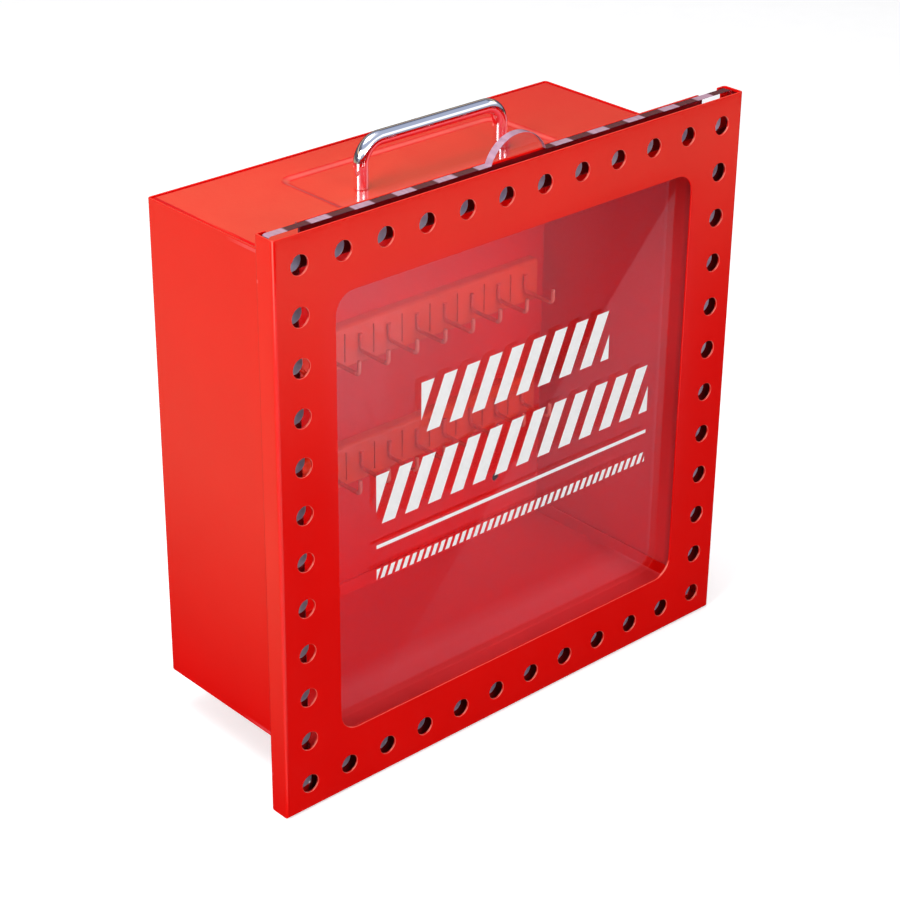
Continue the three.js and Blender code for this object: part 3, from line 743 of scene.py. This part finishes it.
def build_cabinet_wrap():
    wall = BOX_HALF - SHEET / 2
    plan = bent_strip([
        (-FLANGE_END, FLANGE_MIDDLE_Y),
        (-wall, FLANGE_MIDDLE_Y),
        (-wall, -SHEET / 2),
        (wall, -SHEET / 2),
        (wall, FLANGE_MIDDLE_Y),
        (FLANGE_END, FLANGE_MIDDLE_Y),
    ])
    shell = prism("cabinet_wrap_steel", "z", plan, -BOX_HALF, BOX_HALF)
    round_edges(shell)
    on_sides = lambda x, z: abs(x) > BOX_HALF and abs(z) < BOX_HALF + HOLE_RADIUS
    cut_padlock_holes(shell, FLANGE_FRONT_Y, FLANGE_BACK_Y, on_sides)
    place = WALL_HOLE_PLACE
    fixings = [round_hole(sx * place, sz * place, WALL_HOLE_RADIUS) for sx in (-1, 1) for sz in (-1, 1)]
    cut(shell, rolled_cutters("fixings", fixings, "y", -SHEET, 0))
    smooth(shell)
    finish_piece(shell, red, "cabinet", "red_paint", "cabinet_wrap")


def seat_pan(name, top, depth, above):
    """A shallow pressed pan: rounded rectangles that ease from the rim down to the floor."""
    stops = [(top + above, 0.0)]
    for i in range(RAMP_STEPS + 1):
        share = i / RAMP_STEPS
        fall = (1 - math.cos(math.pi * share)) / 2
        stops.append((top - depth * fall, SEAT_RAMP * share))
    rings = []
    for z, inset in stops:
        corner = SEAT_CORNER - inset * SEAT_CORNER_LOSS
        outline = rounded_rectangle(
            SEAT_HALF[0] - inset, SEAT_HALF[1] - inset, corner, SEAT_STEPS, (0.0, SEAT_Y)
        )
        rings.append([(x, y, z) for x, y in outline])
    return skins(name, [rings])


def build_end_plate(name, node, side, flange_end):
    """The top for side 1, with the handle's seat, and the bottom for -1."""
    half = BOX_HALF - SHEET - CORNER_FIT
    rear = -SHEET - CORNER_FIT
    middle = BOX_HALF - SHEET / 2
    bend_back = FLANGE_BACK_Y + BEND_RADIUS
    line = [(FLANGE_MIDDLE_Y, flange_end), (FLANGE_MIDDLE_Y, middle), (bend_back + SHEET, middle)]
    flange = bent_strip([(y, side * z) for y, z in line])
    plate = prism(name, "x", flange, -half, half)
    inside = half - BEND_OUTSIDE
    low, high = sorted((side * (BOX_HALF - SHEET), side * BOX_HALF))
    add(plate, block("plate", (-inside, bend_back, low), (inside, rear - BEND_OUTSIDE, high)))
    hem = bent_strip([(2 * BEND_OUTSIDE, SHEET / 2), (SHEET / 2, SHEET / 2), (SHEET / 2, HEM)])
    add(plate, tray(
        "hems", hem, half, rear - bend_back, (0, rear, side * BOX_HALF), (0, -1, 0), (0, 0, -side)
    ))
    merge_flat(plate)
    round_edges(plate)
    if side > 0:
        add(plate, seat_pan("under", BOX_HALF - SHEET, SEAT_DEPTH, SHEET / 2))
        cut(plate, seat_pan("over", BOX_HALF, SEAT_DEPTH, OVERRUN))
        seat_z = BOX_HALF - SEAT_DEPTH
        holes = [round_hole(sx * HANDLE_HALF, SEAT_Y, SCREW_HOLE_RADIUS) for sx in (-1, 1)]
        cut(plate, rolled_cutters("screw_holes", holes, "z", seat_z - SHEET, seat_z, SCREW_HOLE_EDGE))
    on_flange = lambda x, z: z * side > BOX_HALF and abs(x) < BOX_HALF + HOLE_RADIUS
    cut_padlock_holes(plate, FLANGE_FRONT_Y, FLANGE_BACK_Y, on_flange)
    smooth(plate)
    finish_piece(plate, red, "cabinet", "red_paint", node)


def build_rail(row, top):
    line = [
        (RAIL_BACK_Y, top - SHEET / 2),
        (RAIL_FRONT_Y + SHEET / 2, top - SHEET / 2),
        (RAIL_FRONT_Y + SHEET / 2, top - RAIL_HEIGHT + SHEET / 2),
        (RAIL_BACK_Y, top - RAIL_HEIGHT + SHEET / 2),
    ]
    rail = prism(f"hook_rail_{row}_steel", "x", bent_strip(line), -RAIL_HALF, RAIL_HALF)
    round_edges(rail)
    for i in range(HOOKS_PER_RAIL - 1):
        x = HOOK_FIRST + (i + 0.5) * HOOK_PITCH
        low = (x - SLIT_WIDTH / 2, RAIL_FRONT_Y - OVERRUN, top - RAIL_HEIGHT + SLIT_MARGIN)
        high = (x + SLIT_WIDTH / 2, RAIL_FRONT_Y + SHEET + OVERRUN, top - SLIT_MARGIN)
        cut(rail, block("slit", low, high))
    smooth(rail)
    finish_piece(rail, rail_red, "cabinet", "red_paint", f"hook_rail_{row}")


# Bent bars
def bend_path(corners, radius, steps):
    """Points along straight runs with round right-angled bends between them."""
    corners = [Vector(c) for c in corners]
    path = [corners[0]]
    for before, here, after in zip(corners, corners[1:], corners[2:]):
        arriving, leaving = (here - before).normalized(), (after - here).normalized()
        centre = here - arriving * radius + leaving * radius
        for step in range(steps + 1):
            angle = math.pi / 2 * step / steps
            path.append(centre - leaving * radius * math.cos(angle) + arriving * radius * math.sin(angle))
    return path + [corners[-1]]


def swept_bar(name, path, radius, sides, dome_start, dome_end):
    """A round bar along a flat path. Each end is domed to the given height."""
    runs = [(b - a).normalized() for a, b in zip(path, path[1:])]
    flat = next(c for c in (a.cross(b) for a, b in zip(runs, runs[1:])) if c.length > 1e-6).normalized()
    rings = []

    def ring(middle, along, size):
        normal = flat.cross(along).normalized()
        angles = [2 * math.pi * k / sides for k in range(sides)]
        return [middle + normal * size * math.cos(angle) + flat * size * math.sin(angle) for angle in angles]

    def dome(end, outward, height, along):
        made = []
        for step in range(DOME_STEPS, 0, -1):
            angle = math.pi / 2 * step / (DOME_STEPS + 1)
            sunk, narrowed = height * (1 - math.sin(angle)), height * (1 - math.cos(angle))
            made.append(ring(end - outward * sunk, along, radius - narrowed))
        return made

    for i, place in enumerate(path):
        before, after = runs[max(i - 1, 0)], runs[min(i, len(runs) - 1)]
        along = (before + after).normalized()
        if i == 0:
            rings += dome(place, -runs[0], dome_start, along)
            rings.append(ring(place + runs[0] * dome_start, along, radius))
        elif i == len(path) - 1:
            rings.append(ring(place - runs[-1] * dome_end, along, radius))
            rings += dome(place, runs[-1], dome_end, along)[::-1]
        else:
            rings.append(ring(place, along, radius))
    return skins(name, [rings])


def build_handle():
    corners = [
        (-HANDLE_HALF, SEAT_Y, HANDLE_FOOT_Z),
        (-HANDLE_HALF, SEAT_Y, HANDLE_TOP_Z),
        (HANDLE_HALF, SEAT_Y, HANDLE_TOP_Z),
        (HANDLE_HALF, SEAT_Y, HANDLE_FOOT_Z),
    ]
    path = bend_path(corners, HANDLE_BEND, HANDLE_BEND_STEPS)
    bar = swept_bar("carry_handle_bar", path, BAR_RADIUS, BAR_SIDES, BAR_DOME, BAR_DOME)
    for side in (-1, 1):
        bore = circle(side * HANDLE_HALF, SEAT_Y, HANDLE_BORE_RADIUS, BORE_SIDES)
        cut(bar, prism("bore", "z", bore, HANDLE_FOOT_Z - OVERRUN, HANDLE_FOOT_Z + HANDLE_BORE_DEPTH))
    smooth(bar, BAR_SHARP_ANGLE)
    finish_piece(bar, chrome, "cabinet", "chrome_bar", "carry_handle")


def build_hooks():
    stem_y = RAIL_FRONT_Y - HAIRLINE - WIRE_RADIUS
    tip_y = stem_y - HOOK_REACH
    for row, top in RAIL_TOPS.items():
        arm = top - HOOK_DROP
        for i in range(HOOKS_PER_RAIL):
            number = f"{row}_{i + 1:02d}"
            x = HOOK_FIRST + i * HOOK_PITCH
            corners = [
                (x, stem_y, arm + HOOK_STEM),
                (x, stem_y, arm),
                (x, tip_y, arm),
                (x, tip_y, arm + HOOK_TIP),
            ]
            path = bend_path(corners, WIRE_BEND, WIRE_BEND_STEPS)
            hook = swept_bar(
                f"hook_wire_{number}", path, WIRE_RADIUS, WIRE_SIDES, WIRE_STEM_DOME, WIRE_TIP_DOME
            )
            smooth(hook, BAR_SHARP_ANGLE)
            finish_piece(hook, hook_red, "cabinet", "hook_paint", f"key_hook_{number}")


# Clear panel and its print
def panel_outline():
    corner, steps = PANEL_CORNER, PANEL_CORNER_STEPS
    radius = (TAB_HEIGHT**2 + TAB_HALF**2) / (2 * TAB_HEIGHT)
    middle = PANEL_TOP + TAB_HEIGHT - radius
    foot = math.asin((PANEL_TOP - middle) / radius)
    quarter = math.pi / 2
    x, low, high = PANEL_HALF - corner, PANEL_BOTTOM + corner, PANEL_TOP - corner
    return (
        arc(-x, low, corner, 2 * quarter, 3 * quarter, steps)
        + arc(x, low, corner, 3 * quarter, 4 * quarter, steps)
        + arc(x, high, corner, 0, quarter, steps)
        + arc(0, middle, radius, foot, math.pi - foot, TAB_STEPS)
        + arc(-x, high, corner, quarter, 2 * quarter, steps)
    )


def build_clear_panel():
    panel = prism("clear_panel_sheet", "y", panel_outline(), PANEL_FRONT_Y, PANEL_BACK_Y)
    round_edges(panel, PANEL_EDGE_ROUND)
    cut_padlock_holes(panel, PANEL_FRONT_Y, PANEL_BACK_Y)
    smooth(panel)
    finish_piece(panel, acrylic, "panel", "clear_acrylic", "clear_panel")
    panel.data.materials.append(drilled)
    panel.data.materials.append(sawn)
    middles = [Vector((x, z)) * MM for x, z in padlock_places()]
    for face in panel.data.polygons:
        across = Vector((face.center.x, face.center.z))
        near_hole = min((across - middle).length for middle in middles) < (HOLE_RADIUS + EDGE_ROUND) * MM
        if near_hole and abs(face.normal.y) < FLAT_NORMAL:
            face.material_index = 1
        elif face.normal.z > UPWARD and face.center.z > (PANEL_TOP - MASK_MARGIN) * MM:
            face.material_index = 2


def clip_sideways(corners, left, right):
    for limit, keep in ((left, 1), (right, -1)):
        kept = []
        for a, b in zip(corners, corners[1:] + corners[:1]):
            inside_a, inside_b = (a[0] - limit) * keep >= 0, (b[0] - limit) * keep >= 0
            if inside_a:
                kept.append(a)
            if inside_a != inside_b:
                share = (limit - a[0]) / (b[0] - a[0])
                kept.append((limit, a[1] + (b[1] - a[1]) * share))
        corners = kept
    return corners


def slanted_bars(left, right, low, high, bar, gap, lean):
    """A band of bars that lean to the right, cut off square at the band's ends."""
    shapes = []
    x = left - lean
    while x < right:
        corners = [(x, low), (x + bar, low), (x + bar + lean, high), (x + lean, high)]
        shapes.append(clip_sideways(corners, left, right))
        x += bar + gap
    return [shape for shape in shapes if len(shape) > 2]


def build_print():
    low, high = RULE_HEIGHTS
    shapes = slanted_bars(HEADING_LEFT, HEADING_RIGHT, *HEADING_HEIGHTS, *LARGE_BARS)
    shapes += slanted_bars(PRINT_LEFT, PRINT_RIGHT, *SECOND_HEIGHTS, *LARGE_BARS)
    shapes.append([(PRINT_LEFT, low), (PRINT_RIGHT, low), (PRINT_RIGHT, high), (PRINT_LEFT, high)])
    shapes += slanted_bars(PRINT_LEFT, PRINT_RIGHT, *SMALL_HEIGHTS, *SMALL_BARS)
    back = PANEL_FRONT_Y - PRINT_GAP
    ends = (back, back - PRINT_THICKNESS)
    made = skins("panel_print", [[[(x, y, z) for x, z in shape] for y in ends] for shape in shapes])
    finish_piece(made, ink, "panel", "clear_acrylic")


build_front_frame()
build_cabinet_wrap()
build_end_plate("top_panel_steel", "top_panel", 1, FRAME_HALF)
build_end_plate("bottom_panel_steel", "bottom_panel", -1, FLANGE_END)
build_clear_panel()
build_print()
build_handle()
for rail_row, rail_top in RAIL_TOPS.items():
    build_rail(rail_row, rail_top)
build_hooks()

for name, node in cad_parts.items():
    if name.startswith(("handle_screw", "handle_washer")):
        node.data.materials.clear()
        node.data.materials.append(zinc)

# Place of the camera, in metres from here on
FOCAL_PX = 2342.0
PICTURE = 900.0
SENSOR = 36.0
CLIP_NEAR, CLIP_FAR = 0.05, 60.0
AZIMUTH, ELEVATION, ROLL = (math.radians(a) for a in (-42.56, 27.48, 0.61))
DISTANCE = 1.485
AIM = Vector((-0.0621, -0.160, 0.0207))
BACKWARD = Vector((
    math.sin(AZIMUTH) * math.cos(ELEVATION),
    -math.cos(AZIMUTH) * math.cos(ELEVATION),
    math.sin(ELEVATION),
))

# Floor
FLOOR_Z = -0.2005
FLOOR_HALF = 12.0
FLOOR_GRAIN, FLOOR_ROUGHNESS = (30.0, 3.0), 0.9
FLOOR_PALE_LOW, FLOOR_PALE_HIGH = (0.90, 0.90, 0.90), (0.93, 0.93, 0.93)
FLOOR_SEEN_GLOW = 0.42
FLOOR_BOUNCE = (0.42, 0.42, 0.42)  # for light that it scatters back onto the object
FLOOR_PAINTED_SHADOW = (0.05, 0.03, 0.03)  # painted shadow on the floor behind the box, which shows through a fixing hole and the panel
PAINTED_SHADOW_MIDDLE, PAINTED_SHADOW_REACH = (0.1, 0.1, FLOOR_Z), (0.20, 0.28)

# what gloss mirrors in place of the pale floor: beside and behind the box by the place on the floor, and in
# front of it by the place where the frame's front mirrors that floor to the place of the camera above
MIRROR_DARK = (0.02, 0.02, 0.02)
MIRROR_LEFT, MIRROR_LEFT_FADE = (0.56, 0.48, 0.30), (-0.40, -0.20)
FACE_COLOR, FACE_TOP = (0.98, 0.82, 0.54), 0.18
FACE_LEFT_COLOR, FACE_LEFT_FADE = (1.00, 0.80, 0.74), (-0.245, -0.205)
PANE_COLOR, PANE_FADE, PANE_HEIGHTS = (0.82, 0.74, 0.76), (-0.09, 0.09), (-0.05, 0.12)
VEIL_COLOR, VEIL_HEIGHTS = (0.42, 0.38, 0.42), (-0.16, 0.02)  # painted reflection of a pale area behind a slanting edge, seen only in gloss
VEIL_EDGE_NORMAL, VEIL_EDGE, VEIL_EDGE_SOFTNESS = (0.5152, 0.857, 0.0), -0.2209, 0.0015
MIRROR_SOFTNESS = 0.004
GUIDED_COLOR = (0.42, 0.37, 0.46)  # lavender, once it has been through the clear panel


def mirrored_in_front(graph, x, y):
    """Where on the plane of the box's front this point of the floor is mirrored, across and up, seen from the
    place of the photograph's camera. That place is a constant, so no area moves with the camera of a view."""
    eye = AIM + BACKWARD * DISTANCE
    eye.y = 2 * FRONT_Y * MM - eye.y
    share = graph.math("DIVIDE", FRONT_Y * MM - eye.y, graph.math("SUBTRACT", y, eye.y))
    across = graph.math("ADD", graph.product(graph.math("SUBTRACT", x, eye.x), share), eye.x)
    upward = graph.math("ADD", graph.math("MULTIPLY", FLOOR_Z - eye.z, share), eye.z)
    return across, upward


def tinted_in_panel(graph, path, mirrored):
    return graph.mix(graph.above(path["Transmission Depth"], 0.5), mirrored, GUIDED_COLOR)


def mirrored_floor(graph, where, path):
    """Dim floor for gloss: brighter to the left of the box, where the upper part of the frame mirrors it, and
    behind a slanting edge in the window."""
    x, y, _ = graph.split(where)
    across, upward = mirrored_in_front(graph, x, y)
    rim, top = WINDOW_HALF * MM, FRAME_HALF * MM

    height = graph.rise(upward, 0.0, FACE_TOP)
    face = graph.mix(graph.product(height, height), MIRROR_DARK, FACE_COLOR)
    face = graph.mix(graph.fall(across, *FACE_LEFT_FADE), face, FACE_LEFT_COLOR)
    face = graph.mix(graph.rise(upward, top, top + MIRROR_SOFTNESS), face, MIRROR_DARK)

    left = graph.fall(across, *PANE_FADE)
    pane = graph.mix(graph.product(left, graph.rise(upward, *PANE_HEIGHTS)), MIRROR_DARK, PANE_COLOR)
    slant = graph.node("ShaderNodeVectorMath", {0: where, 1: VEIL_EDGE_NORMAL}, "Value", operation="DOT_PRODUCT")
    # painted reflection veil in the window, beyond a slanting edge
    veil_reflection = graph.product(
        graph.rise(slant, VEIL_EDGE, VEIL_EDGE + VEIL_EDGE_SOFTNESS), graph.rise(upward, *VEIL_HEIGHTS)
    )
    pane = graph.mix(veil_reflection, pane, VEIL_COLOR)

    in_window = graph.product(
        graph.fall(graph.size(across), rim - MIRROR_SOFTNESS, rim),
        graph.fall(upward, rim - MIRROR_SOFTNESS, rim),
        graph.rise(upward, -rim, MIRROR_SOFTNESS - rim),
    )
    before = graph.mix(in_window, face, pane)
    beside = graph.mix(graph.fall(x, *MIRROR_LEFT_FADE), MIRROR_DARK, MIRROR_LEFT)
    in_front = graph.below(y, FRONT_Y * MM)
    return tinted_in_panel(graph, path, graph.mix(in_front, beside, before))


def floor_material():
    """Pale floor that takes the shadow, with another look for light that comes by way of the object."""
    made, graph, shader, give = material("pale_floor")
    grain = graph.rise(graph.noise(*FLOOR_GRAIN), NOISE_LOW, NOISE_HIGH)
    pale = graph.mix(grain, FLOOR_PALE_LOW, FLOOR_PALE_HIGH)
    where, path = graph.coordinates(), graph.path()
    dim = graph.mix(graph.mirrored(path), FLOOR_BOUNCE, mirrored_floor(graph, where, path))
    through = graph.seen_through_panel(path)
    # painted shadow behind the box, for what is seen straight through the panel; farther off the floor shows
    # pale
    dim = graph.mix(through, dim, FLOOR_PAINTED_SHADOW)
    away = graph.node("ShaderNodeVectorMath", {0: where, 1: PAINTED_SHADOW_MIDDLE}, "Value", operation="DISTANCE")
    in_view = graph.product(through, graph.rise(away, *PAINTED_SHADOW_REACH))
    direct = graph.math("MAXIMUM", path["Is Camera Ray"], in_view)
    give(
        Base_Color=graph.mix(direct, dim, pale),
        Roughness=FLOOR_ROUGHNESS,
        Specular_IOR_Level=0.0,
        Emission_Color=WHITE,
        Emission_Strength=graph.product(direct, FLOOR_SEEN_GLOW),
    )
    return made


def build_floor():
    corners = [(sx * FLOOR_HALF, sy * FLOOR_HALF, FLOOR_Z) for sx, sy in ((-1, -1), (1, -1), (1, 1), (-1, 1))]
    mesh = bpy.data.meshes.new("floor")
    mesh.from_pydata(corners, [], [(0, 1, 2, 3)])
    floor = bpy.data.objects.new("floor", mesh)
    floor.data.materials.append(floor_material())
    scene.collection.objects.link(floor)


# Light
WORLD_LIGHT = (0.38, 0.38, 0.39)
HORIZON_SOFTNESS = 0.02
# what chrome and gloss mirror, by the height of the direction: behind the box a dark horizon with the pale
# band that the top mirrors, in front of it a strip light, and a blue-grey sky over both
MIRROR_BANDS_BEHIND = [
    (0.00, (0.10, 0.10, 0.13)),
    (0.29, (0.12, 0.12, 0.15)),
    (0.33, (0.40, 0.28, 0.18)),
    (0.37, (1.15, 0.86, 0.50)),
    (0.41, (1.15, 0.86, 0.50)),
    (0.44, (0.12, 0.12, 0.16)),
    (0.68, (0.16, 0.17, 0.23)),
    (0.74, (0.42, 0.47, 0.62)),
    (0.88, (0.50, 0.55, 0.70)),
    (1.00, (1.20, 1.20, 1.25)),
]
MIRROR_BANDS_BEFORE = [
    (0.00, (0.30, 0.30, 0.36)),
    (0.24, (0.50, 0.53, 0.64)),
    (0.32, (1.30, 1.30, 1.35)),
    (0.58, (1.30, 1.30, 1.35)),
    (0.66, (0.42, 0.47, 0.62)),
    (0.88, (0.50, 0.55, 0.70)),
    (1.00, (1.20, 1.20, 1.25)),
]


def build_world():
    world = bpy.data.worlds.new("studio")
    scene.world = world
    world.use_nodes = True
    graph = Graph(world.node_tree)
    graph.nodes.clear()
    path = graph.path()
    _, y, z = graph.split(graph.coordinates("Generated"))

    def background(color):
        return graph.node("ShaderNodeBackground", {"Color": color, "Strength": 1.0}, "Background")

    def bands(stops):
        made = graph.nodes.new("ShaderNodeValToRGB")
        graph.links.new(z, made.inputs["Fac"])
        ramp = made.color_ramp.elements
        ramp.remove(ramp[0])
        for number, (place, color) in enumerate(stops):
            element = ramp[0] if number == 0 else ramp.new(place)
            element.position = place
            element.color = (*color, 1)
        return made.outputs["Color"]

    before = tinted_in_panel(graph, path, bands(MIRROR_BANDS_BEFORE))
    behind = graph.rise(y, -HORIZON_SOFTNESS, HORIZON_SOFTNESS)
    around = graph.mix(behind, before, bands(MIRROR_BANDS_BEHIND))
    unseen = graph.blend(graph.mirrored(path), background(WORLD_LIGHT), background(around))
    direct = graph.math("MAXIMUM", path["Is Camera Ray"], graph.seen_through_panel(path))
    surface = graph.blend(direct, unseen, background(WHITE))
    graph.links.new(surface, graph.nodes.new("ShaderNodeOutputWorld").inputs["Surface"])


def area_lamp(name, place, target, size, power):
    light = bpy.data.lights.new(name, "AREA")
    light.shape = "RECTANGLE"
    light.size, light.size_y = size
    light.energy = power
    lamp = bpy.data.objects.new(name, light)
    lamp.location = place
    lamp.rotation_euler = (Vector(target) - Vector(place)).to_track_quat("-Z", "Y").to_euler()
    scene.collection.objects.link(lamp)


# Camera
def build_camera():
    right = Vector((math.cos(AZIMUTH), math.sin(AZIMUTH), 0.0))
    up = BACKWARD.cross(right)
    rolled_right = math.cos(ROLL) * right + math.sin(ROLL) * up
    rolled_up = -math.sin(ROLL) * right + math.cos(ROLL) * up
    turned = Matrix((rolled_right, rolled_up, BACKWARD)).transposed().to_4x4()
    data = bpy.data.cameras.new("camera")
    data.sensor_fit = "HORIZONTAL"
    data.sensor_width = SENSOR
    data.lens = FOCAL_PX / PICTURE * SENSOR
    data.clip_start, data.clip_end = CLIP_NEAR, CLIP_FAR
    camera = bpy.data.objects.new("camera", data)
    camera.matrix_world = Matrix.Translation(AIM + BACKWARD * DISTANCE) @ turned
    scene.collection.objects.link(camera)
    scene.camera = camera


build_floor()
build_world()
area_lamp("left", place=(-1.9, -0.35, 0.95), target=(-0.1, -0.1, 0.0), size=(0.9, 0.9), power=27.5)
area_lamp("front", place=(-0.15, -1.75, 0.72), target=(0, -0.15, 0), size=(0.9, 0.6), power=13.5)
area_lamp("top", place=(-0.3, 0.25, 1.9), target=(0, -0.08, 0.1), size=(1.2, 1.2), power=17.0)
build_camera()
scene.view_settings.view_transform = "Standard"
